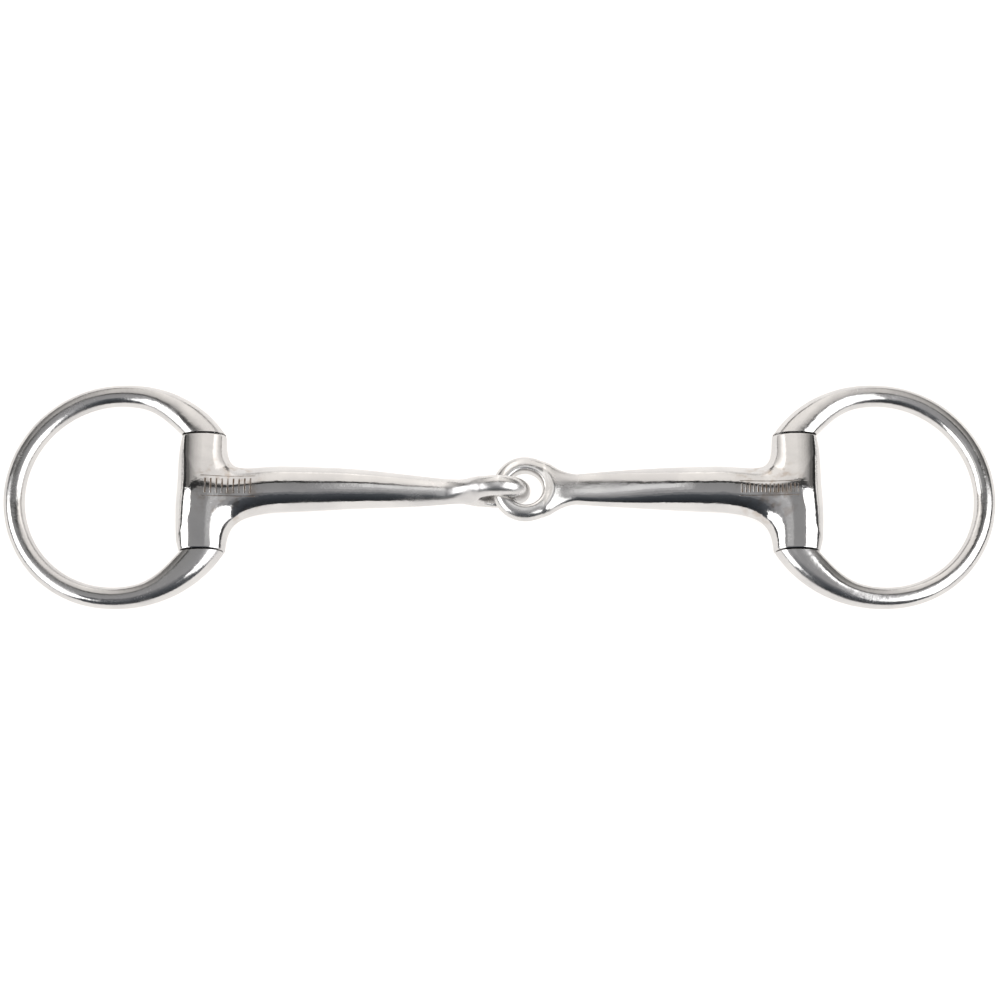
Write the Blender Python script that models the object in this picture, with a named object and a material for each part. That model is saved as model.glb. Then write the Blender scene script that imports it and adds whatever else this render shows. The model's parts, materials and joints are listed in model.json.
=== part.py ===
"""Single-jointed eggbutt snaffle bit, lying at rest on a flat surface.

Two mouthpiece arms are linked at the middle by eyes that pass through each other.
Each arm ends in a barrel, and a pin along the barrel carries a cheek ring whose
thick shoulders butt against the barrel's two ends.

Frame: +X along the mouthpiece, +Y along the barrels, +Z up. The origin is under the
middle of the bit, on the surface it rests on. Units are metres.
"""
import math

import bmesh
import bpy

MM = 0.001

# Whole bit
PIN_X = 73.7 * MM                  # from the middle to each barrel's pin axis
PIN_Z = 6.5 * MM                   # the pins' height, with the barrels lying on the surface
FOLD_X = 0.15 * MM                 # the centre joint sits a little off the middle
RUNNING_GAP = 0.3 * MM             # between pieces that turn against each other

# Barrels, with a tight edge on the ring side and a full round on the mouth side
BARREL_HALF_LENGTH = 14.95 * MM
BARREL_HALF_WIDTH = 5.5 * MM
BARREL_HALF_DEPTH = 6.42 * MM      # along the crest at mid length
BARREL_END_HALF_DEPTH = 4.4 * MM
BARREL_CREST = 3.0 * MM            # how round the crest is before the faces slope to the ends
BARREL_MOUTH_ROUND = 4.8 * MM
BARREL_RING_ROUND = 1.9 * MM
BARREL_CROWN = 1.2 * MM            # how far the ring side bulges at mid length

# Mouthpiece arms
ARM_NECK_HALF = 3.15 * MM
ARM_ROOT_HALF = 5.75 * MM
ARM_NECK_X = 13.0 * MM
ARM_ROOT_X = 56.0 * MM
ARM_TAPER_POWER = 1.6
ARM_OFFSET_Y = 1.2 * MM            # the arms lie a little off the barrels' middle
ARM_STRAIGHT_X = 40.0 * MM         # outside here the arms run straight at that offset
FILLET_START_X = 57.0 * MM
FILLET_END_X = 68.2 * MM
FILLET_RISE = 7.6 * MM
FILLET_POWER = 2.6
ARM_DEPTH_AT_BARREL = 6.1 * MM

# Linked eyes
EYE_HOLE_RADIUS = 4.3 * MM
EYE_STRAND_HALF = 1.95 * MM        # measured along the eye's radius
EYE_HALF_THICKNESS = 2.5 * MM
EYE_HOLE_EDGE_POWER = 3.0          # 2 would be round; the hole's edges are squarer
LEFT_EYE_OFFSET_Y = 0.3 * MM
RIGHT_EYE_OFFSET_Y = 0.9 * MM
LEFT_EYE_REACH = 0.65 * MM         # the left eye hangs a little off centre on the joint
EYE_FLARE_REACH = 13.0 * MM        # the fork widens from here to the eye's strand
EYE_FLARE_RISE = 2.8 * MM
EYE_FLARE_POWER = 1.5
LEFT_ARM_SLIM = (6.5 * MM, 13.5 * MM)     # between these the arm thins down to its eye
RIGHT_ARM_SLIM = (13.0 * MM, 50.0 * MM)

# Cheek rings
RING_CENTRE_REACH = 21.57 * MM     # from the pin axis to the ring's centre
RING_HOLE_RADIUS = 23.55 * MM
RING_WIRE_RADIUS = 2.67 * MM
SHOULDER_SWELL = 2.0 * MM          # extra outer radius where the ring meets the barrel
SHOULDER_INNER_SWELL = 1.4 * MM    # and how far the inner edge comes in there
SHOULDER_HALF_DEPTH = 4.3 * MM     # a touch shallower than the barrel's ends
SHOULDER_START = math.radians(85.0)
SHOULDER_FULL = math.radians(156.0)
INNER_SWELL_START = math.radians(105.0)

# Hinge pins
PIN_RADIUS = 2.2 * MM
PIN_SOCKET_DEPTH = 3.2 * MM

# Mesh fineness
ARM_SIDES = 20
ARM_STATIONS = 24
EYE_STEPS = 30
STRAND_STEPS = 12
BARREL_STATIONS = 13                # odd, so that the barrel is level at mid length
RING_STATIONS = 64
PIN_SIDES = 24
MOUTH_ROUND_STEPS = 4
RING_ROUND_STEPS = 3

STEEL_COLOUR = (0.62, 0.61, 0.60, 1.0)
PIN_COLOUR = (0.50, 0.50, 0.51, 1.0)

EYE_CENTRE_RADIUS = EYE_HOLE_RADIUS + EYE_STRAND_HALF
EYE_OUTER_RADIUS = EYE_HOLE_RADIUS + 2.0 * EYE_STRAND_HALF
EYE_LIFT = 0.04 * MM               # the upright eye's lowest point just meets the surface
FOLD_Z = EYE_OUTER_RADIUS + EYE_LIFT
BARREL_DROP = FOLD_Z - PIN_Z
RIGHT_EYE_REACH = EYE_CENTRE_RADIUS


def smoothstep(value, low, high):
    t = min(max((value - low) / (high - low), 0.0), 1.0)
    return t * t * (3.0 - 2.0 * t)


def mix(a, b, weight):
    return a + (b - a) * weight


def clear_scene():
    for obj in list(bpy.data.objects):
        bpy.data.objects.remove(obj, do_unlink=True)


def make_steel(name, colour, roughness):
    material = bpy.data.materials.new(name)
    material.use_nodes = True
    shader = material.node_tree.nodes["Principled BSDF"]
    shader.inputs["Base Color"].default_value = colour
    shader.inputs["Metallic"].default_value = 1.0
    shader.inputs["Roughness"].default_value = roughness
    return material


def add_empty(name, location, turn_y, parent):
    """An empty on a joint axis, turned about Y; what hangs on it moves as one."""
    empty = bpy.data.objects.new(name, None)
    bpy.context.collection.objects.link(empty)
    empty.parent = parent
    empty.location = location
    empty.rotation_euler = (0.0, turn_y, 0.0)
    return empty


def add_mesh(name, bm, parent, material=None):
    """Turn a bmesh into a smooth-shaded object; with no material it is a guide."""
    bmesh.ops.recalc_face_normals(bm, faces=bm.faces)
    mesh = bpy.data.meshes.new(name)
    bm.to_mesh(mesh)
    bm.free()
    mesh.shade_smooth()
    mesh.set_sharp_from_angle(angle=math.radians(40.0))
    obj = bpy.data.objects.new(name, mesh)
    bpy.context.collection.objects.link(obj)
    obj.parent = parent
    if material:
        mesh.materials.append(material)
    else:
        obj.hide_render = True
        obj.display_type = "WIRE"
    return obj


def combine(target, other, operation):
    modifier = target.modifiers.new(other.name, "BOOLEAN")
    modifier.operation = operation
    modifier.solver = "EXACT"
    modifier.object = other


def loft(sections, closed=False):
    """Skin a list of equal-length point loops, capping both ends unless closed."""
    bm = bmesh.new()
    loops = [[bm.verts.new(point) for point in section] for section in sections]
    sides = len(loops[0])
    pairs = list(zip(loops, loops[1:]))
    if closed:
        pairs.append((loops[-1], loops[0]))
    for first, second in pairs:
        for i in range(sides):
            j = (i + 1) % sides
            bm.faces.new((first[i], first[j], second[j], second[i]))
    if not closed:
        bm.faces.new(loops[0])
        bm.faces.new(loops[-1])
    return bm


def cylinder_y(radius, y_low, y_high, x=0.0):
    """A closed cylinder along Y."""
    angles = [2.0 * math.pi * i / PIN_SIDES for i in range(PIN_SIDES)]
    return loft([[(x + radius * math.cos(a), y, radius * math.sin(a)) for a in angles]
                 for y in (y_low, y_high)])


def barrel_outline():
    """The barrel's section: (outward, up) points, outward towards the ring."""
    ring_round = (BARREL_RING_ROUND, RING_ROUND_STEPS)
    mouth_round = (BARREL_MOUTH_ROUND, MOUTH_ROUND_STEPS)
    corners = ((1, 1, *ring_round), (-1, 1, *mouth_round), (-1, -1, *mouth_round), (1, -1, *ring_round))
    points = []
    for quarter, (side, up, radius, steps) in enumerate(corners):
        centre_x = side * (BARREL_HALF_WIDTH - radius)
        centre_z = up * (BARREL_HALF_DEPTH - radius)
        for step in range(steps + 1):
            angle = 0.5 * math.pi * (quarter + step / steps)
            points.append((centre_x + radius * math.cos(angle), centre_z + radius * math.sin(angle)))
    return points


def crest_drop(y):
    """A steady fall away from the middle, rounded over at the crest."""
    return math.hypot(y, BARREL_CREST) - BARREL_CREST


def arm_half_sizes(x, from_eye, slim):
    """Half-width across the arm in the eye's plane, across it, and the fillet's rise."""
    t = min(max((x - ARM_NECK_X) / (ARM_ROOT_X - ARM_NECK_X), 0.0), 1.0)
    taper = mix(ARM_NECK_HALF, ARM_ROOT_HALF, 1.0 - (1.0 - t) ** ARM_TAPER_POWER)
    near_eye = (EYE_FLARE_REACH - from_eye) / (EYE_FLARE_REACH - EYE_CENTRE_RADIUS)
    near_eye = min(max(near_eye, 0.0), 1.0)
    broad = taper + EYE_FLARE_RISE * near_eye ** EYE_FLARE_POWER
    narrow = mix(EYE_HALF_THICKNESS, taper, smoothstep(x, *slim))
    s = min(max((x - FILLET_START_X) / (FILLET_END_X - FILLET_START_X), 0.0), 1.0)
    rise = FILLET_RISE * (1.0 - math.sqrt(1.0 - s ** FILLET_POWER))
    return broad, narrow, rise


def build_arm(name, side, eye_reach, eye_offset, eye_upright, slim, parent, material):
    """One casting: eye, tapering arm and barrel. side is +1 right, -1 left."""
    pin_reach = math.hypot(PIN_X - side * FOLD_X, BARREL_DROP)

    sections = []
    start = eye_reach + EYE_CENTRE_RADIUS
    for i in range(ARM_STATIONS + 1):
        reach = mix(start, pin_reach, i / ARM_STATIONS)
        x = PIN_X - (pin_reach - reach)
        broad, narrow, rise = arm_half_sizes(x, reach - eye_reach, slim)
        half_y, half_z = (narrow, broad) if eye_upright else (broad, narrow)
        half_y += rise
        half_z = mix(half_z, ARM_DEPTH_AT_BARREL, smoothstep(x, ARM_ROOT_X, FILLET_END_X))
        offset = mix(eye_offset, ARM_OFFSET_Y, smoothstep(x, EYE_FLARE_REACH, ARM_STRAIGHT_X))
        centre_y = offset * (1.0 - rise / FILLET_RISE)
        angles = [2.0 * math.pi * k / ARM_SIDES for k in range(ARM_SIDES)]
        sections.append([(side * reach, centre_y + half_y * math.cos(a), half_z * math.sin(a))
                         for a in angles])
    arm = add_mesh(name, loft(sections), parent, material)

    strand = [2.0 * math.pi * k / STRAND_STEPS for k in range(STRAND_STEPS)]
    loops = []
    for i in range(EYE_STEPS):
        turn = 2.0 * math.pi * (i + 0.5) / EYE_STEPS
        loop = []
        for a in strand:
            power = 1.0 if math.cos(a) > 0.0 else 2.0 / EYE_HOLE_EDGE_POWER
            outward = math.copysign(abs(math.cos(a)) ** power, math.cos(a))
            radius = EYE_CENTRE_RADIUS + EYE_STRAND_HALF * outward
            along = side * eye_reach + radius * math.cos(turn)
            across = radius * math.sin(turn)
            thick = EYE_HALF_THICKNESS * math.copysign(abs(math.sin(a)) ** power, math.sin(a))
            if eye_upright:
                loop.append((along, eye_offset + thick, across))
            else:
                loop.append((along, eye_offset + across, thick))
        loops.append(loop)
    combine(arm, add_mesh(name + "_eye_guide", loft(loops, closed=True), parent), "UNION")

    sections = []
    for i in range(BARREL_STATIONS + 1):
        y = mix(-BARREL_HALF_LENGTH, BARREL_HALF_LENGTH, i / BARREL_STATIONS)
        towards_end = (y / BARREL_HALF_LENGTH) ** 2
        crown = BARREL_CROWN * (1.0 - towards_end) / BARREL_HALF_WIDTH
        slope = crest_drop(y) / crest_drop(BARREL_HALF_LENGTH)
        depth = mix(BARREL_HALF_DEPTH, BARREL_END_HALF_DEPTH, slope) / BARREL_HALF_DEPTH
        sections.append([(side * (pin_reach + out + crown * max(out, 0.0)), y, depth * up)
                         for out, up in barrel_outline()])
    combine(arm, add_mesh(name + "_barrel_guide", loft(sections), parent), "UNION")

    bore = cylinder_y(PIN_RADIUS + RUNNING_GAP, -2.0 * BARREL_HALF_LENGTH, 2.0 * BARREL_HALF_LENGTH,
                      side * pin_reach)
    combine(arm, add_mesh(name + "_bore_cutter", bore, parent), "DIFFERENCE")


def ring_section(turn, outline):
    """The ring's section at an angle from its far end, as (outward, along barrel, up)."""
    sign = math.copysign(1.0, turn)
    turn = abs(turn)
    butt = BARREL_HALF_LENGTH + RUNNING_GAP
    outer_radius_at_butt = RING_HOLE_RADIUS + 2.0 * RING_WIRE_RADIUS + SHOULDER_SWELL
    inner_end = math.pi - math.asin(butt / (RING_HOLE_RADIUS - SHOULDER_INNER_SWELL))
    outer_end = math.pi - math.asin(butt / outer_radius_at_butt)
    end = 0.5 * (inner_end + outer_end)
    fan = smoothstep(turn, SHOULDER_START, end) * 0.5 * (outer_end - inner_end)
    swell = smoothstep(turn, SHOULDER_START, SHOULDER_FULL) / smoothstep(end, SHOULDER_START, SHOULDER_FULL)
    outer_radius = RING_HOLE_RADIUS + 2.0 * RING_WIRE_RADIUS + SHOULDER_SWELL * swell
    inner_radius = RING_HOLE_RADIUS - SHOULDER_INNER_SWELL * smoothstep(turn, INNER_SWELL_START, end)
    inner = (RING_CENTRE_REACH + inner_radius * math.cos(turn - fan),
             inner_radius * math.sin(turn - fan))
    outer = (RING_CENTRE_REACH + outer_radius * math.cos(turn + fan),
             outer_radius * math.sin(turn + fan))
    half_depth = mix(RING_WIRE_RADIUS, SHOULDER_HALF_DEPTH, swell)
    points = []
    for out, up in outline:
        width = out / BARREL_HALF_WIDTH
        height = up / BARREL_HALF_DEPTH
        round_off = mix(1.0 / math.hypot(width, height), 1.0, swell)
        width *= round_off
        height *= round_off
        towards_inner = 0.5 + 0.5 * width
        points.append((mix(outer[0], inner[0], towards_inner),
                       sign * mix(outer[1], inner[1], towards_inner),
                       half_depth * height))
    return points, end


def build_cheek(name, pin_name, side, parent, ring_material, pin_material):
    """A cheek ring and the pin that its two shoulders hold. Origin on the pin axis."""
    outline = barrel_outline()
    end = ring_section(0.0, outline)[1]
    sections = []
    for i in range(RING_STATIONS + 1):
        turn = mix(-end, end, i / RING_STATIONS)
        points = ring_section(turn, outline)[0]
        sections.append([(side * x, y, z) for x, y, z in points])
    ring = add_mesh(name, loft(sections), parent, ring_material)

    socket_end = BARREL_HALF_LENGTH + PIN_SOCKET_DEPTH
    socket = cylinder_y(PIN_RADIUS + RUNNING_GAP, -socket_end, socket_end)
    combine(ring, add_mesh(name + "_socket_cutter", socket, parent), "DIFFERENCE")

    pin_end = socket_end - RUNNING_GAP
    add_mesh(pin_name, cylinder_y(PIN_RADIUS, -pin_end, pin_end), parent, pin_material)


def build_side(side_name, side, eye, arm_steel, ring_steel, pin_steel):
    """An arm hung on the centre joint, and a cheek hung on the arm's barrel.

    eye is the eye's reach from the joint, its offset along Y, whether it stands upright,
    and where the arm thins down to it.
    """
    span = PIN_X - side * FOLD_X
    arm_tilt = side * math.asin(BARREL_DROP / math.hypot(span, BARREL_DROP))
    fold = add_empty(side_name + "_fold_axis", (FOLD_X, 0.0, FOLD_Z), arm_tilt, None)
    build_arm(side_name + "_mouthpiece_arm", side, *eye, fold, arm_steel)

    wire_reach = RING_CENTRE_REACH + RING_HOLE_RADIUS + RING_WIRE_RADIUS
    droop = side * math.asin((PIN_Z - RING_WIRE_RADIUS) / wire_reach)
    pin_reach = math.hypot(span, BARREL_DROP)
    swing = add_empty(side_name + "_swing_axis", (side * pin_reach, 0.0, 0.0), droop - arm_tilt, fold)
    build_cheek(side_name + "_cheek_ring", side_name + "_hinge_pin", side, swing, ring_steel, pin_steel)


def main():
    clear_scene()
    arm_steel = make_steel("mouthpiece_steel", STEEL_COLOUR, 0.16)
    ring_steel = make_steel("ring_steel", STEEL_COLOUR, 0.14)
    pin_steel = make_steel("pin_steel", PIN_COLOUR, 0.30)
    right_eye = (RIGHT_EYE_REACH, RIGHT_EYE_OFFSET_Y, False, RIGHT_ARM_SLIM)
    left_eye = (LEFT_EYE_REACH, LEFT_EYE_OFFSET_Y, True, LEFT_ARM_SLIM)
    build_side("right", 1, right_eye, arm_steel, ring_steel, pin_steel)
    build_side("left", -1, left_eye, arm_steel, ring_steel, pin_steel)


main()
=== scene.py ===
"""Looks of the eggbutt snaffle bit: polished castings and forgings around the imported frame."""

import json
import math

import bpy
import numpy as np
from mathutils import Matrix, Vector


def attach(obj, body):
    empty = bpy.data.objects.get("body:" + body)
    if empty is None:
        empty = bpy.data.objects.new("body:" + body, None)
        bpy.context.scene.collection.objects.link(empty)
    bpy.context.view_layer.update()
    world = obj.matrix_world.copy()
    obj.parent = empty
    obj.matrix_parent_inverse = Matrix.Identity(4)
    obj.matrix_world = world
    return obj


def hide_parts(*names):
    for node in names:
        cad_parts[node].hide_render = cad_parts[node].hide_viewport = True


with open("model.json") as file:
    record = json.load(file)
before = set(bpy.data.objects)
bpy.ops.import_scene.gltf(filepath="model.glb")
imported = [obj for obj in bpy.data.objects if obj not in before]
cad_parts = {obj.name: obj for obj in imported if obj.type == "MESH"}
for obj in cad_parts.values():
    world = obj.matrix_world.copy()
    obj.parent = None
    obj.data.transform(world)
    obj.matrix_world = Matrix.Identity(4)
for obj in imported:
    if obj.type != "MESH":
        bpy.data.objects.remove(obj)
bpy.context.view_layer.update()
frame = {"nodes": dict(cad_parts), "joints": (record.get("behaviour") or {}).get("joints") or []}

MM = 0.001

# Shape, in millimetres: the CAD part's driving sizes, with finer forms.
# x runs out from the fold towards a ring, y along the barrel and z up.

# Cheek rings. The shoulders' angles run round the ring from its far side.
RING_HOLE_RADIUS = 23.55
RING_WIRE_RADIUS = 2.67
RING_CENTRE_REACH = 21.57
SHOULDER_SWELL = 2.0
SHOULDER_INNER_SWELL = 1.4
INNER_SWELL_START = math.radians(105.0)
SHOULDER_START = math.radians(85.0)
SHOULDER_FULL = math.radians(156.0)
JOINT_LINE = 0.2

# Barrels. A pair is a size at the barrel's middle and at its ends.
BARREL_HALF_LENGTH = 15.0
BARREL_MIDDLE = 0.5
BARREL_MOUTH_HALF = 5.5
BARREL_RING_HALF = 5.9
BARREL_HALF_DEPTH = 6.4
BARREL_END_HALF_DEPTH = 4.4
BARREL_CREST = 3.0
BARREL_POWER = 2.25
SECTION_LIMIT = 12.0
WALL_OUT = (5.5, 4.9)
WALL_BULGE = (1.3, 0.6)
WALL_HALF_DEPTH = 5.2
PIN_BORE_RADIUS = 2.5

# Eyes
EYE_STRAND_HALF = 1.95
EYE_HALF_THICKNESS = 2.5
EYE_HOLE_RADIUS = 4.3
EYE_HOLE_EDGE_POWER = 3.0
EYE_OUTER_POWER = 2.1
EYE_CREST_INSET = 0.8
EYE_CENTRE_RADIUS = EYE_HOLE_RADIUS + EYE_STRAND_HALF
LEFT_EYE_REACH = 0.65
LEFT_EYE_OFFSET_Y = 0.3
RIGHT_EYE_OFFSET_Y = 0.9

# Arms. A pair is how far from the fold a change starts and ends.
ARM_OFFSET_Y = 1.2
ARM_SHIFT = (13.0, 40.0)
ARM_ROOT = (54.0, 70.0)
ARM_THIN = 3.15
ARM_THICK = 5.75
ARM_START_INSET = 0.3
TAPER_START = 13.0
TAPER_LENGTH = 43.0
TAPER_POWER = 1.6
FLARE_LENGTH = 13.0
FLARE_RISE = 2.7
FLARE_POWER = 1.5
LEFT_ARM_SLIM = (6.5, 13.5)
RIGHT_ARM_SLIM = (13.0, 50.0)
RIGHT_NECK_FLAT = (14.0, 45.0)
RIGHT_NECK_EXTRA_POWER = 0.9

# Cast edges and fillets: how far one surface blends into the next.
WALL_BLEND = 0.3
BARREL_CUT_BLEND = 0.12
END_BLEND = 0.2
BORE_BLEND = 0.08
EYE_BLEND = 1.0
EYE_BLEND_INSIDE = 1.2
EYE_BLEND_OUTSIDE = 1.0
FRONT_FILLET = 3.3
BACK_FILLET = 2.3
LEAST_FILLET = 0.18
FILLET_TURN_Y = 4.0
FILLET_HALF_DEPTH = 6.9

# Mesh
GRID_STEP = 0.3
GRID_MARGIN = 1.0
GRID_HALF_DEPTH = 9.0
GRID_BARREL_REACH = 7.0

# Steel. Sizes are in millimetres, except that a noise's scale is per metre.
STEEL = (0.66, 0.65, 0.64)
PIN_STEEL = (0.5, 0.5, 0.5)
DULLING = (0.90, 0.90, 0.91)
WAVE_SCALE = 230.0
PIT_SCALE = 2200.0
RUB_SCALE = 2600.0
CLOUD_SCALE = 120.0
RELIEF_DEPTH = 0.10
DULL_NEARER_THAN = 12.0
BRIGHT_BEYOND = 40.0

# Etched marks. A scale is its low and high x, its low and high y, and the ticks' pitch.
LEFT_SCALE = (-74.0, -60.5, -2.0, 3.2, 1.4)
RIGHT_SCALE = (59.5, 74.0, -1.8, 1.8, 1.0)
ETCH_COLOUR = (0.16, 0.12, 0.09, 1.0)
ETCH_EDGE = 0.05
ETCH_NONE_BELOW = 8.0
ETCH_FULL_ABOVE = 8.5
TICK_OUTSIDE = 0.24
TICK_INSIDE = 0.16
TICK_GAP = 0.7
LINE_HALF = 0.09
WEAR_SCALE = 700.0
STAIN_COLOUR = (0.40, 0.33, 0.27, 1.0)
STAIN_SCALE = 420.0
STAIN_REACH = 11.0
STAIN_CORE = 5.0
STAIN_HEIGHT = 11.0

# Studio, in metres and degrees. The room's bands run from the viewer's side over to the far side.
WHITE = (1.0, 1.0, 1.0)
WARM = (1.0, 0.965, 0.93)
ROOM_BANDS = (
    (-90, (0.02, 0.022, 0.025)),
    (-62, (0.05, 0.056, 0.065)),
    (-38, (0.105, 0.113, 0.127)),
    (-28, (0.10, 0.10, 0.11)),
    (22, (0.03, 0.03, 0.03)),
    (30, (0.05, 0.05, 0.05)),
    (50, (0.16, 0.155, 0.15)),
    (74, (0.22, 0.21, 0.20)),
    (81, (1.15, 1.12, 1.09)),
    (90, (1.22, 1.19, 1.15)),
)
SOFTBOX_DISTANCE = 1.1
SOFTBOX_LEAN = -14.5
SOFTBOX_RADIANCE = 2.8
OVERHEAD_PANELS = (
    ("ceiling_panel", -0.022, 0.18, (0.80, 0.152), 0.30),
    ("apron_panel", -0.120, 0.1785, (0.22, 0.05), 0.12),
    ("middle_panel", 0.002, 0.179, (0.09, 0.104), 0.22),
    ("centre_panel", 0.022, 0.178, (0.06, 0.064), 0.45),
)
BACK_CARD_WIDTHS = (0.90, 0.56, 0.49, 0.42, 0.36, 0.30, 0.24, 0.19)
BACK_CARD_HEIGHT = 0.33
BACK_CARD_Y = 0.252
BACK_CARD_Z = 0.13
BACK_CARD_SPACING = 0.001
BACK_CARD_AIM = (0.0, 0.115, -0.33)
BACK_CARDS_RADIANCE = 1.04
FIN_CARD_CENTRE = (0.0, 0.0575, 0.055)
FIN_CARD_SIZE = (0.085, 0.11)
FIN_CARD_RADIANCE = 0.75
FLOOR_SIZE = 4.0
FLOOR_GAP = 0.0002
PAPER_COLOUR = (0.30, 0.295, 0.29, 1.0)
PAPER_GLOW = (1.0, 0.975, 0.95, 1.0)
PAPER_GLOW_STRENGTH = 0.88
SENSOR_WIDTH = 36.0
CAMERA_DISTANCE = 0.80
CAMERA_TILT = 16.0
CAMERA_TARGET = (0.00015, -0.00165, 0.0073)
VIEW_WIDTH = 0.2486

joints = {joint["name"]: Vector(joint["pos_m"]) / MM for joint in frame["joints"]}
FOLD = joints["centre_fold"]
PINS = {1: joints["right_ring_swing"], -1: joints["left_ring_swing"]}
PIN_X = PINS[1].x


def smoothstep(value, low, high):
    t = np.clip((value - low) / (high - low), 0.0, 1.0)
    return t * t * (3.0 - 2.0 * t)


def mix(a, b, weight):
    return a + (b - a) * weight


def smooth_min(a, b, reach):
    """The lower of two distances, rounded where they meet."""
    return np.minimum(a, b) - reach * np.log1p(np.exp(-np.abs(a - b) / reach))


def smooth_max(a, b, reach):
    return -smooth_min(-a, -b, reach)


def section_distance(across, up, half_across, half_up, power):
    """Rough distance to a superellipse, negative inside."""
    shape = np.abs(across / half_across) ** power + np.abs(up / half_up) ** power
    shape = np.maximum(shape ** (1.0 / power), 1e-6)
    return np.hypot(across, up) * (1.0 - 1.0 / shape) - np.where(shape < 1e-5, 1.0, 0.0)


def barrel_section(out, up, y):
    """Distance to the barrel's section at a place along its length; out points to the ring."""
    along = np.clip(np.abs(y) / BARREL_HALF_LENGTH, 0.0, 1.0) ** 2
    fall = np.hypot(y, BARREL_CREST) - BARREL_CREST
    whole_fall = math.hypot(BARREL_HALF_LENGTH, BARREL_CREST) - BARREL_CREST
    half_up = mix(BARREL_HALF_DEPTH, BARREL_END_HALF_DEPTH, np.minimum(fall / whole_fall, 1.0))
    mouth_half = BARREL_MOUTH_HALF + BARREL_MIDDLE
    half_out = np.where(out < BARREL_MIDDLE, mouth_half, BARREL_RING_HALF)
    face = section_distance(out - BARREL_MIDDLE, up, half_out, half_up, BARREL_POWER)
    bulge = mix(*WALL_BULGE, along) * (1.0 - np.clip(up / WALL_HALF_DEPTH, -1.0, 1.0) ** 2)
    wall = out - mix(*WALL_OUT, along) - bulge
    return smooth_max(face, wall, WALL_BLEND)


def arm_middle(x, eye_offset):
    """Where the arm's middle lies along Y, from its eye out to the barrel."""
    along_arm = mix(eye_offset, ARM_OFFSET_Y, smoothstep(x, *ARM_SHIFT))
    return mix(along_arm, 0.0, smoothstep(x, *ARM_ROOT))


def arm_body(reach, y, z, eye, pin_reach):
    """The tapering bar between the eye and the barrel."""
    eye_reach, eye_offset, eye_upright = eye
    x = PIN_X - (pin_reach - reach)
    t = np.clip((x - TAPER_START) / TAPER_LENGTH, 0.0, 1.0)
    taper = mix(ARM_THIN, ARM_THICK, 1.0 - (1.0 - t) ** TAPER_POWER)
    from_eye = reach - eye_reach
    near = np.clip((FLARE_LENGTH - from_eye) / (FLARE_LENGTH - EYE_CENTRE_RADIUS), 0.0, 1.0)
    broad = taper + FLARE_RISE * near ** FLARE_POWER
    slim = LEFT_ARM_SLIM if eye_upright else RIGHT_ARM_SLIM
    narrow = mix(EYE_HALF_THICKNESS, taper, smoothstep(x, *slim))
    half_y, half_z = (narrow, broad) if eye_upright else (broad, narrow)
    flatness = 0.0 if eye_upright else 1.0 - smoothstep(x, *RIGHT_NECK_FLAT)
    power = 2.0 + RIGHT_NECK_EXTRA_POWER * flatness
    body = section_distance(y - arm_middle(x, eye_offset), z, half_y, half_z, power)
    start = eye_reach + EYE_CENTRE_RADIUS - ARM_START_INSET
    return np.maximum(np.maximum(body, start - reach), reach - pin_reach)


def eye_loop(along, across, thick):
    """Distance to the eye's strand, squarer towards its hole than on the outside."""
    outward = np.hypot(along, across) - EYE_CENTRE_RADIUS + EYE_CREST_INSET
    inner = outward < 0.0
    half = EYE_STRAND_HALF + np.where(inner, -EYE_CREST_INSET, EYE_CREST_INSET)
    power = np.where(inner, EYE_HOLE_EDGE_POWER, EYE_OUTER_POWER)
    return section_distance(outward, thick, half, EYE_HALF_THICKNESS, power)


def arm_casting(points, eye, pin_reach):
    """Signed distance, roughly, of a whole casting: eye, arm and barrel with its bore."""
    eye_reach, eye_offset, eye_upright = eye
    reach, y, z = points
    out = reach - pin_reach
    ends = np.abs(y) - BARREL_HALF_LENGTH
    barrel = smooth_max(barrel_section(out, z, y), ends, BARREL_CUT_BLEND)
    arm = arm_body(reach, y, z, eye, pin_reach)
    level = np.clip(1.0 - (z / FILLET_HALF_DEPTH) ** 2, 0.0, 1.0)
    to_back = smoothstep(y, -FILLET_TURN_Y, FILLET_TURN_Y)
    fillet = mix(FRONT_FILLET, BACK_FILLET, to_back) * level + LEAST_FILLET
    solid = smooth_max(smooth_min(arm, barrel, fillet), ends, END_BLEND)
    along = reach - eye_reach
    beside = y - eye_offset
    across, thick = (z, beside) if eye_upright else (beside, z)
    loop = eye_loop(along, across, thick)
    ring_distance = np.hypot(along, across)
    blended = smooth_min(solid, loop, EYE_BLEND)
    outside_hole = smoothstep(ring_distance, EYE_CENTRE_RADIUS - EYE_BLEND_INSIDE,
                              EYE_CENTRE_RADIUS + EYE_BLEND_OUTSIDE)
    solid = mix(loop, blended, outside_hole)
    bore = PIN_BORE_RADIUS - np.hypot(out, z)
    return smooth_max(solid, bore, BORE_BLEND)


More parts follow.
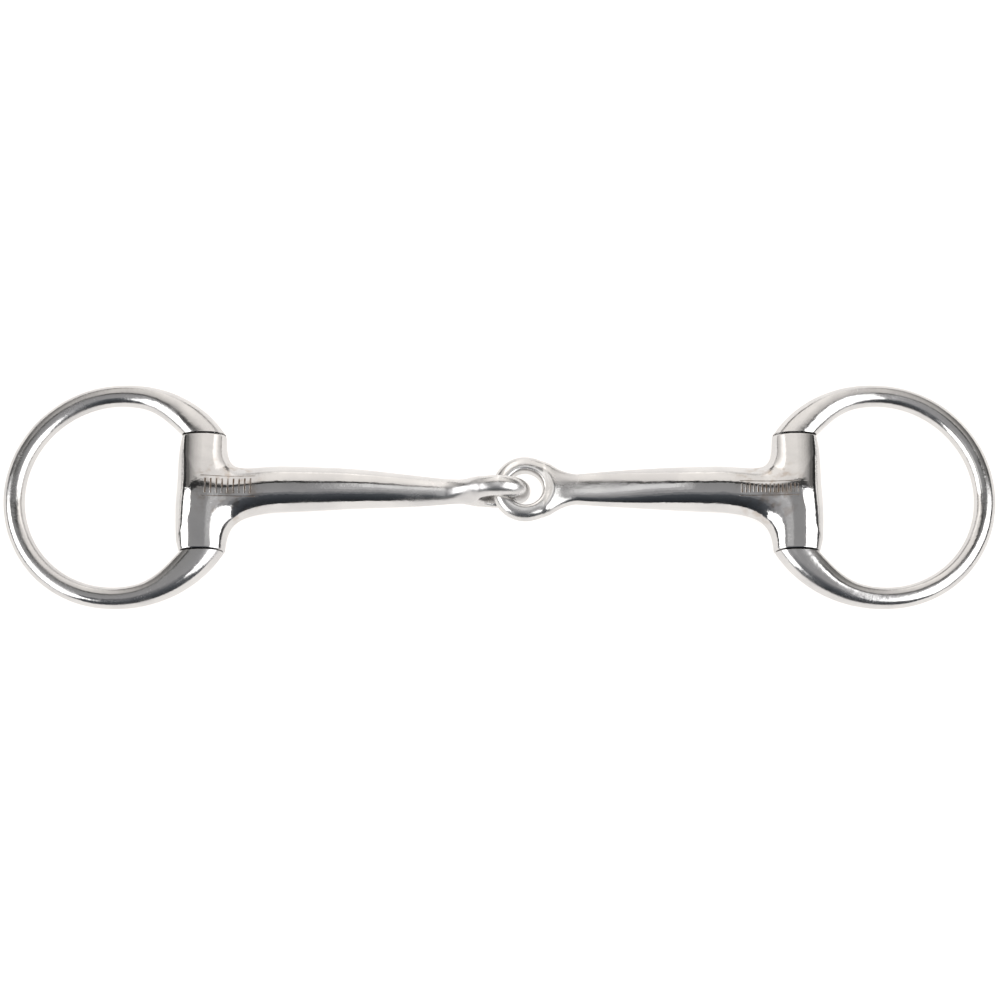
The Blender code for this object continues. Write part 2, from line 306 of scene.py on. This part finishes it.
def surface_from_field(field, low, high, step):
    """Surface nets: a quad mesh of the field's zero surface, pulled exactly onto it."""
    axes = [np.arange(a, b + step, step) for a, b in zip(low, high)]
    grid = np.meshgrid(*axes, indexing="ij")
    values = field(grid)
    inside = values < 0.0
    shape = tuple(n - 1 for n in values.shape)
    total = np.zeros(shape + (3,))
    count = np.zeros(shape)
    corners = [(i, j, k) for i in (0, 1) for j in (0, 1) for k in (0, 1)]
    for axis in range(3):
        for corner in corners:
            if corner[axis]:
                continue
            far = list(corner)
            far[axis] = 1
            a = values[tuple(slice(c, c + n) for c, n in zip(corner, shape))]
            b = values[tuple(slice(c, c + n) for c, n in zip(far, shape))]
            crossing = (a < 0.0) != (b < 0.0)
            t = np.where(crossing, a / np.where(crossing, a - b, 1.0), 0.0)
            for d in range(3):
                place = t if d == axis else corner[d]
                total[..., d] += np.where(crossing, place, 0.0)
            count += crossing
    active = count > 0
    index = np.full(shape, -1, dtype=np.int64)
    index[active] = np.arange(active.sum())
    cells = np.argwhere(active)
    origin = np.array([a[0] for a in axes])
    verts = (cells + total[active] / count[active][:, None]) * step + origin
    quads = []
    for axis in range(3):
        u, v = (axis + 1) % 3, (axis + 2) % 3
        core = [slice(1, -1)] * 3
        core[axis] = slice(0, shape[axis])
        here = inside[tuple(core)]
        ahead_slice = list(core)
        ahead_slice[axis] = slice(1, shape[axis] + 1)
        ahead = inside[tuple(ahead_slice)]
        cell = np.argwhere(here != ahead)
        leaving = (here & ~ahead)[tuple(cell.T)]
        cell[:, u] += 1
        cell[:, v] += 1
        loop = []
        for du, dv in ((0, 0), (1, 0), (1, 1), (0, 1)):
            near = cell.copy()
            near[:, u] -= 1 - du
            near[:, v] -= 1 - dv
            loop.append(index[tuple(near.T)])
        loop = np.stack(loop, axis=1)
        quads.append(np.where(leaving[:, None], loop, loop[:, ::-1]))
    quads = np.concatenate(quads)
    return settle(field, verts, quads, step), quads


def slope(field, verts, reach=0.02):
    """The field's gradient at the points, by central differences."""
    columns = []
    for axis in range(3):
        ahead, behind = verts.copy(), verts.copy()
        ahead[:, axis] += reach
        behind[:, axis] -= reach
        columns.append((field(ahead.T) - field(behind.T)) / (2.0 * reach))
    return np.stack(columns, axis=1)


def settle(field, verts, quads, step, rounds=6, projections=2, relaxation=0.6):
    """Even the mesh out along the surface, and project it onto the zero surface."""
    edges = np.concatenate([quads[:, [i, (i + 1) % 4]] for i in range(4)])
    edges = np.unique(np.sort(edges, axis=1), axis=0)
    ends = np.concatenate([edges, edges[:, ::-1]])
    degree = np.bincount(ends[:, 0], minlength=len(verts))
    for turn in range(rounds):
        total = [np.bincount(ends[:, 0], verts[ends[:, 1], d], len(verts)) for d in range(3)]
        mean = np.stack(total, axis=1) / degree[:, None]
        gradient = slope(field, verts)
        normal = gradient / np.maximum(np.linalg.norm(gradient, axis=1), 1e-6)[:, None]
        shift = mean - verts
        shift -= normal * np.sum(shift * normal, axis=1)[:, None]
        verts = verts + relaxation * shift
        for again in range(projections):
            value = field(verts.T)
            gradient = slope(field, verts)
            size = np.maximum(np.sum(gradient * gradient, axis=1), 0.05)
            move = -value / size
            verts = verts + np.clip(move, -step, step)[:, None] * gradient
    return verts


def add_mesh(name, verts, faces, material, body, node):
    """A visible piece that stands in for a CAD node and rides on its body."""
    mesh = bpy.data.meshes.new(name)
    mesh.from_pydata((verts * MM).tolist(), [], faces.tolist())
    mesh.shade_smooth()
    mesh.materials.append(material)
    mesh.update()
    piece = bpy.data.objects.new(name, mesh)
    bpy.context.scene.collection.objects.link(piece)
    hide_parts(node)
    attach(piece, body)


def turned_about_y(verts, angle, centre):
    """Turn points about the Y axis and move them to a centre."""
    c, s = math.cos(angle), math.sin(angle)
    x, y, z = verts.T
    return np.stack([centre[0] + x * c + z * s, centre[1] + y, centre[2] - x * s + z * c], axis=1)


def build_arm(name, side, eye, material, body, node):
    """One casting, meshed lying level and then tilted to run from the fold to its pin."""
    span = side * (PINS[side].x - FOLD.x)
    drop = FOLD.z - PINS[side].z
    pin_reach = math.hypot(span, drop)
    half_length = BARREL_HALF_LENGTH + GRID_MARGIN
    low = (eye[0] - EYE_CENTRE_RADIUS - EYE_STRAND_HALF - GRID_MARGIN, -half_length, -GRID_HALF_DEPTH)
    high = (pin_reach + GRID_BARREL_REACH + GRID_MARGIN, half_length, GRID_HALF_DEPTH)

    def field(points):
        return arm_casting(points, eye, pin_reach)

    verts, quads = surface_from_field(field, low, high, GRID_STEP)
    verts[:, 0] *= side
    if side < 0:
        quads = quads[:, ::-1]
    verts = turned_about_y(verts, side * math.asin(drop / pin_reach), FOLD)
    add_mesh(name, verts, quads, material, body, node)


def barrel_end_outline(count):
    """Outline of the barrel's end section: out and up for each of count angles, and the angles."""
    angles = np.arange(count) * 2.0 * math.pi / count
    inner = np.zeros(count)
    outer = np.full(count, SECTION_LIMIT)
    for halving in range(40):
        middle = 0.5 * (inner + outer)
        at_end = np.full(count, BARREL_HALF_LENGTH)
        inside = barrel_section(middle * np.cos(angles), middle * np.sin(angles), at_end) < 0.0
        inner = np.where(inside, middle, inner)
        outer = np.where(inside, outer, middle)
    return inner * np.cos(angles), inner * np.sin(angles), angles


def build_ring(name, side, material, body, node, stations=360, count=96):
    """The cheek ring: round wire that swells and fans out into the two shoulders."""
    out, up, angles = barrel_end_outline(count)
    low, high = out.min(), out.max()
    width = (2.0 * out - low - high) / (high - low)
    height = up / BARREL_END_HALF_DEPTH
    butt = BARREL_HALF_LENGTH + JOINT_LINE
    wide = RING_HOLE_RADIUS + 2.0 * RING_WIRE_RADIUS + SHOULDER_SWELL
    inner_end = math.pi - math.asin(butt / (RING_HOLE_RADIUS - SHOULDER_INNER_SWELL))
    outer_end = math.pi - math.asin(butt / wide)
    end = 0.5 * (inner_end + outer_end)
    turns = np.linspace(-end, end, stations + 1)
    sign = np.where(turns < 0.0, -1.0, 1.0)[:, None]
    turn = np.abs(turns)[:, None]
    fan = smoothstep(turn, SHOULDER_START, end) * 0.5 * (outer_end - inner_end)
    swell = smoothstep(turn, SHOULDER_START, SHOULDER_FULL)
    swell = swell / smoothstep(end, SHOULDER_START, SHOULDER_FULL)
    outer_radius = RING_HOLE_RADIUS + 2.0 * RING_WIRE_RADIUS + SHOULDER_SWELL * swell
    inner_radius = RING_HOLE_RADIUS - SHOULDER_INNER_SWELL * smoothstep(turn, INNER_SWELL_START, end)
    inner_x = RING_CENTRE_REACH + inner_radius * np.cos(turn - fan)
    inner_y = inner_radius * np.sin(turn - fan)
    outer_x = RING_CENTRE_REACH + outer_radius * np.cos(turn + fan)
    outer_y = outer_radius * np.sin(turn + fan)
    depth = mix(RING_WIRE_RADIUS, BARREL_END_HALF_DEPTH, swell)
    towards_inner = 0.5 + 0.5 * mix(np.cos(angles), width, swell)
    x = mix(outer_x, inner_x, towards_inner)
    y = sign * mix(outer_y, inner_y, towards_inner)
    z = depth * mix(np.sin(angles), height, swell)
    verts = np.stack([side * x, y, z], axis=-1).reshape(-1, 3)
    rows = np.arange(stations)[:, None] * count
    i = np.arange(count)[None, :]
    j = (i + 1) % count
    quads = np.stack([rows + i, rows + j, rows + count + j, rows + count + i], axis=-1).reshape(-1, 4)
    if side < 0:
        quads = quads[:, ::-1]
    far_wire = RING_CENTRE_REACH + RING_HOLE_RADIUS + RING_WIRE_RADIUS
    droop = math.asin((PINS[side].z - RING_WIRE_RADIUS) / far_wire)
    verts = turned_about_y(verts, side * droop, PINS[side])
    add_mesh(name, verts, quads, material, body, node)


class NodeGraph:
    """Shorthand for a node tree: an input given as a socket is linked, others are plain values."""

    def __init__(self, tree):
        self.tree = tree

    def add(self, kind, inputs=(), **settings):
        node = self.tree.nodes.new(kind)
        for key, value in settings.items():
            setattr(node, key, value)
        for key, value in dict(inputs).items():
            if isinstance(value, bpy.types.NodeSocket):
                self.tree.links.new(value, node.inputs[key])
            else:
                node.inputs[key].default_value = value
        return node

    def math(self, operation, first, second=0.0, third=0.0):
        inputs = {0: first, 1: second, 2: third}
        return self.add("ShaderNodeMath", inputs, operation=operation).outputs[0]

    def remap(self, value, low, high, to_low=0.0, to_high=1.0, smooth=True):
        inputs = {"Value": value, "From Min": low, "From Max": high,
                  "To Min": to_low, "To Max": to_high}
        kind = "SMOOTHSTEP" if smooth else "LINEAR"
        return self.add("ShaderNodeMapRange", inputs, interpolation_type=kind).outputs["Result"]

    def noise(self, vector, scale, detail=2.0, stretch=(1.0, 1.0, 1.0)):
        placed = self.add("ShaderNodeMapping", {"Vector": vector, "Scale": stretch}).outputs[0]
        inputs = {"Vector": placed, "Scale": scale, "Detail": detail}
        return self.add("ShaderNodeTexNoise", inputs).outputs["Fac"]

    def between(self, value, low, high, edge):
        """1 inside low..high, falling to 0 over edge."""
        rise = self.remap(value, low - edge, low + edge)
        fall = self.remap(value, high + edge, high - edge)
        return self.math("MULTIPLY", rise, fall)

    def distance(self, place, centre):
        """Distance from a fixed point, in metres."""
        inputs = {0: place, 1: centre}
        return self.add("ShaderNodeVectorMath", inputs, operation="DISTANCE").outputs["Value"]

    def blend(self, weight, first, second):
        """A colour between two, each given as a socket or as a plain colour."""
        inputs = {0: weight, 6: first, 7: second}
        return self.add("ShaderNodeMix", inputs, data_type="RGBA").outputs[2]


def etched_scale(graph, place, scale):
    """A band of evenly spaced ticks between two thin lines; 1 where the steel is etched."""
    x_low, x_high, y_low, y_high, pitch = scale
    split = graph.add("ShaderNodeSeparateXYZ", {0: place})
    x, y, z = split.outputs
    edge = ETCH_EDGE * MM
    phase = graph.math("PINGPONG", x, 0.5 * pitch * MM)
    tick = graph.remap(phase, TICK_OUTSIDE * MM, TICK_INSIDE * MM)
    tall = graph.between(y, (y_low + TICK_GAP) * MM, (y_high - TICK_GAP) * MM, edge)
    ticks = graph.math("MULTIPLY", tick, tall)
    lower, upper = (graph.between(y, (level - LINE_HALF) * MM, (level + LINE_HALF) * MM, edge)
                    for level in (y_low, y_high))
    pattern = graph.math("MAXIMUM", ticks, graph.math("MAXIMUM", lower, upper))
    inside = graph.between(x, x_low * MM, x_high * MM, edge)
    upward = graph.remap(z, ETCH_NONE_BELOW * MM, ETCH_FULL_ABOVE * MM)
    return graph.math("MULTIPLY", graph.math("MULTIPLY", pattern, inside), upward)


def etched(graph, place, scale, shade, gloss, relief):
    """Colour, roughness and height with a stain round the mark and the worn mark itself."""
    mark = etched_scale(graph, place, scale)
    middle = (0.5 * (scale[0] + scale[1]) * MM, 0.0, STAIN_HEIGHT * MM)
    away = graph.distance(place, middle)
    near = graph.remap(away, STAIN_REACH * MM, STAIN_CORE * MM)
    blotches = graph.remap(graph.noise(place, STAIN_SCALE, 4.0), 0.46, 0.72, 0.0, 0.65)
    stain = graph.math("MULTIPLY", near, blotches)
    shade = graph.blend(stain, shade, STAIN_COLOUR)
    wear = graph.remap(graph.noise(place, WEAR_SCALE), 0.35, 0.6, 0.55, 1.0)
    worn = graph.math("MULTIPLY", mark, wear)
    shade = graph.blend(worn, shade, ETCH_COLOUR)
    gloss = graph.math("MULTIPLY_ADD", worn, 0.3, gloss)
    relief = graph.math("MULTIPLY_ADD", worn, -0.25, relief)
    return shade, gloss, relief


def polished_steel(name, colour, roughness, scale=None, streak=(0.12, 1.0, 1.0),
                   wave=(0.6, 1.0, 1.0), eye_roughness=None, pitting=0.06):
    """Hand-polished steel: slightly wavy, with fine rub marks and worn, uneven gloss."""
    material = bpy.data.materials.new(name)
    material.use_nodes = True
    graph = NodeGraph(material.node_tree)
    shader = material.node_tree.nodes["Principled BSDF"]
    shader.inputs["Metallic"].default_value = 1.0
    place = graph.add("ShaderNodeTexCoord").outputs["Object"]
    waves = graph.noise(place, WAVE_SCALE, 3.0, wave)
    pits = graph.noise(place, PIT_SCALE, 3.0)
    rubs = graph.noise(place, RUB_SCALE, 2.0, streak)
    cloud = graph.noise(place, CLOUD_SCALE, 3.0)

    dull = tuple(c * k for c, k in zip(colour, DULLING))
    shade = graph.blend(graph.remap(cloud, 0.35, 0.7), (*colour, 1.0), (*dull, 1.0))

    polish = roughness
    if eye_roughness:
        from_fold = graph.distance(place, tuple(FOLD * MM))
        polish = graph.remap(from_fold, DULL_NEARER_THAN * MM, BRIGHT_BEYOND * MM,
                             eye_roughness, roughness)
    gloss = graph.math("MULTIPLY", polish, graph.remap(cloud, 0.3, 0.75, 0.75, 1.5))
    gloss = graph.math("ADD", gloss, graph.remap(rubs, 0.55, 0.8, 0.0, 0.05))
    relief = graph.math("MULTIPLY_ADD", pits, pitting, waves)
    relief = graph.math("MULTIPLY_ADD", rubs, 0.05, relief)
    if scale:
        shade, gloss, relief = etched(graph, place, scale, shade, gloss, relief)
    bump = graph.add("ShaderNodeBump", {"Height": relief, "Strength": 1.0,
                                        "Distance": RELIEF_DEPTH * MM})
    for source, socket in ((shade, "Base Color"), (gloss, "Roughness"), (bump.outputs[0], "Normal")):
        material.node_tree.links.new(source, shader.inputs[socket])
    return material


def make_world():
    """A dim room in bands: dark towards the viewer, bright at the very far side."""
    world = bpy.data.worlds.new("studio")
    bpy.context.scene.world = world
    world.use_nodes = True
    world.node_tree.nodes.clear()
    graph = NodeGraph(world.node_tree)
    coords = graph.add("ShaderNodeTexCoord")
    split = graph.add("ShaderNodeSeparateXYZ", {0: coords.outputs["Generated"]})
    lean = graph.math("ARCSINE", split.outputs["Y"])
    place = graph.remap(lean, -0.5 * math.pi, 0.5 * math.pi, smooth=False)
    ramp = graph.add("ShaderNodeValToRGB", {0: place})
    elements = ramp.color_ramp.elements
    elements.remove(elements[1])
    for number, (degrees, colour) in enumerate(ROOM_BANDS):
        position = (degrees + 90.0) / 180.0
        if number == 0:
            element = elements[0]
            element.position = position
        else:
            element = elements.new(position)
        element.color = (*colour, 1.0)
    background = graph.add("ShaderNodeBackground", {"Color": ramp.outputs["Color"]})
    graph.add("ShaderNodeOutputWorld", {0: background.outputs[0]})


def add_panel(name, centre, size, aim, radiance, colour=WHITE):
    """An evenly bright rectangle that faces its aim point and that the camera doesn't see."""
    light = bpy.data.lights.new(name, "AREA")
    light.shape = "RECTANGLE"
    light.size, light.size_y = size
    light.energy = radiance * math.pi * size[0] * size[1]
    light.color = colour
    lamp = bpy.data.objects.new(name, light)
    bpy.context.scene.collection.objects.link(lamp)
    lamp.location = centre
    towards = Vector(aim) - Vector(centre)
    if abs(towards.x) < 0.01:
        across = Vector((1.0, 0.0, 0.0))
    else:
        across = Vector((0.0, 1.0, 0.0)).cross(-towards)
    back = -towards.normalized()
    across = (across - back * across.dot(back)).normalized()
    upward = back.cross(across)
    lamp.rotation_euler = Matrix((across, upward, back)).transposed().to_euler()
    lamp.visible_camera = False


def add_softbox(name, side, degrees, size):
    """A big light off to one side of the bit and a little towards the viewer."""
    lean = math.radians(SOFTBOX_LEAN)
    across = math.radians(degrees)
    centre = (side * SOFTBOX_DISTANCE * math.sin(across) * math.cos(lean),
              SOFTBOX_DISTANCE * math.sin(lean),
              SOFTBOX_DISTANCE * math.cos(across) * math.cos(lean))
    add_panel(name, centre, size, (0.0, 0.0, 0.0), SOFTBOX_RADIANCE)


def add_lights():
    """Two softboxes, dim panels overhead, cards beyond the bit and a fin between its two sides."""
    add_softbox("softbox_left", -1, 60.0, (0.70, 1.27))
    add_softbox("softbox_right", 1, 49.0, (0.96, 1.27))
    for name, y, z, size, radiance in OVERHEAD_PANELS:
        add_panel(name, (0.0, y, z), size, (0.0, y, 0.0), radiance)
    radiance = BACK_CARDS_RADIANCE / len(BACK_CARD_WIDTHS)
    for number, width in enumerate(BACK_CARD_WIDTHS):
        centre = (0.0, BACK_CARD_Y - BACK_CARD_SPACING * number, BACK_CARD_Z)
        add_panel("back_card_%d" % number, centre, (width, BACK_CARD_HEIGHT), BACK_CARD_AIM,
                  radiance, WARM)
    for side in (-1, 1):
        aim = (side, *FIN_CARD_CENTRE[1:])
        add_panel("fin_card", FIN_CARD_CENTRE, FIN_CARD_SIZE, aim, FIN_CARD_RADIANCE, WARM)


def add_floor():
    """Plain paper, bright enough by itself to read as white under the dim room."""
    bpy.ops.mesh.primitive_plane_add(size=FLOOR_SIZE, location=(0.0, 0.0, -FLOOR_GAP))
    floor = bpy.context.object
    floor.name = "floor"
    paper = bpy.data.materials.new("floor_paper")
    paper.use_nodes = True
    shader = paper.node_tree.nodes["Principled BSDF"]
    shader.inputs["Base Color"].default_value = PAPER_COLOUR
    shader.inputs["Roughness"].default_value = 0.9
    shader.inputs["Specular IOR Level"].default_value = 0.0
    shader.inputs["Emission Color"].default_value = PAPER_GLOW
    shader.inputs["Emission Strength"].default_value = PAPER_GLOW_STRENGTH
    floor.data.materials.append(paper)


def add_camera():
    """The photograph's view: from a little towards the viewer's side of straight above."""
    lens = bpy.data.cameras.new("camera")
    lens.sensor_width = SENSOR_WIDTH
    lens.lens = SENSOR_WIDTH * CAMERA_DISTANCE / VIEW_WIDTH
    camera = bpy.data.objects.new("camera", lens)
    bpy.context.scene.collection.objects.link(camera)
    tilt = math.radians(CAMERA_TILT)
    away = Vector((0.0, -math.sin(tilt), math.cos(tilt)))
    camera.location = Vector(CAMERA_TARGET) + CAMERA_DISTANCE * away
    camera.rotation_euler = (tilt, 0.0, 0.0)
    bpy.context.scene.camera = camera
    bpy.context.scene.view_settings.view_transform = "Standard"


arm_look = dict(colour=STEEL, roughness=0.10, eye_roughness=0.27, pitting=0.14)
left_steel = polished_steel("polished_left_arm", scale=LEFT_SCALE, **arm_look)
right_steel = polished_steel("polished_right_arm", scale=RIGHT_SCALE, **arm_look)
even = (1.0, 1.0, 1.0)
ring_steel = polished_steel("polished_ring", STEEL, 0.19, streak=even, wave=even)
pin_steel = polished_steel("turned_pin", PIN_STEEL, 0.3, streak=(1.0, 0.1, 1.0))

# Each eye: how far its centre lies from the fold, its offset along Y, and whether it stands upright.
right_eye = (EYE_CENTRE_RADIUS, RIGHT_EYE_OFFSET_Y, False)
left_eye = (LEFT_EYE_REACH, LEFT_EYE_OFFSET_Y, True)
build_arm("right_arm_casting", 1, right_eye, right_steel, "right_mouthpiece", "right_mouthpiece_arm")
build_arm("left_arm_casting", -1, left_eye, left_steel, "left_mouthpiece", "left_mouthpiece_arm")
build_ring("right_ring_forging", 1, ring_steel, "right_cheek", "right_cheek_ring")
build_ring("left_ring_forging", -1, ring_steel, "left_cheek", "left_cheek_ring")
for node in ("right_hinge_pin", "left_hinge_pin"):
    frame["nodes"][node].data.materials.clear()
    frame["nodes"][node].data.materials.append(pin_steel)

make_world()
add_lights()
add_floor()
add_camera()
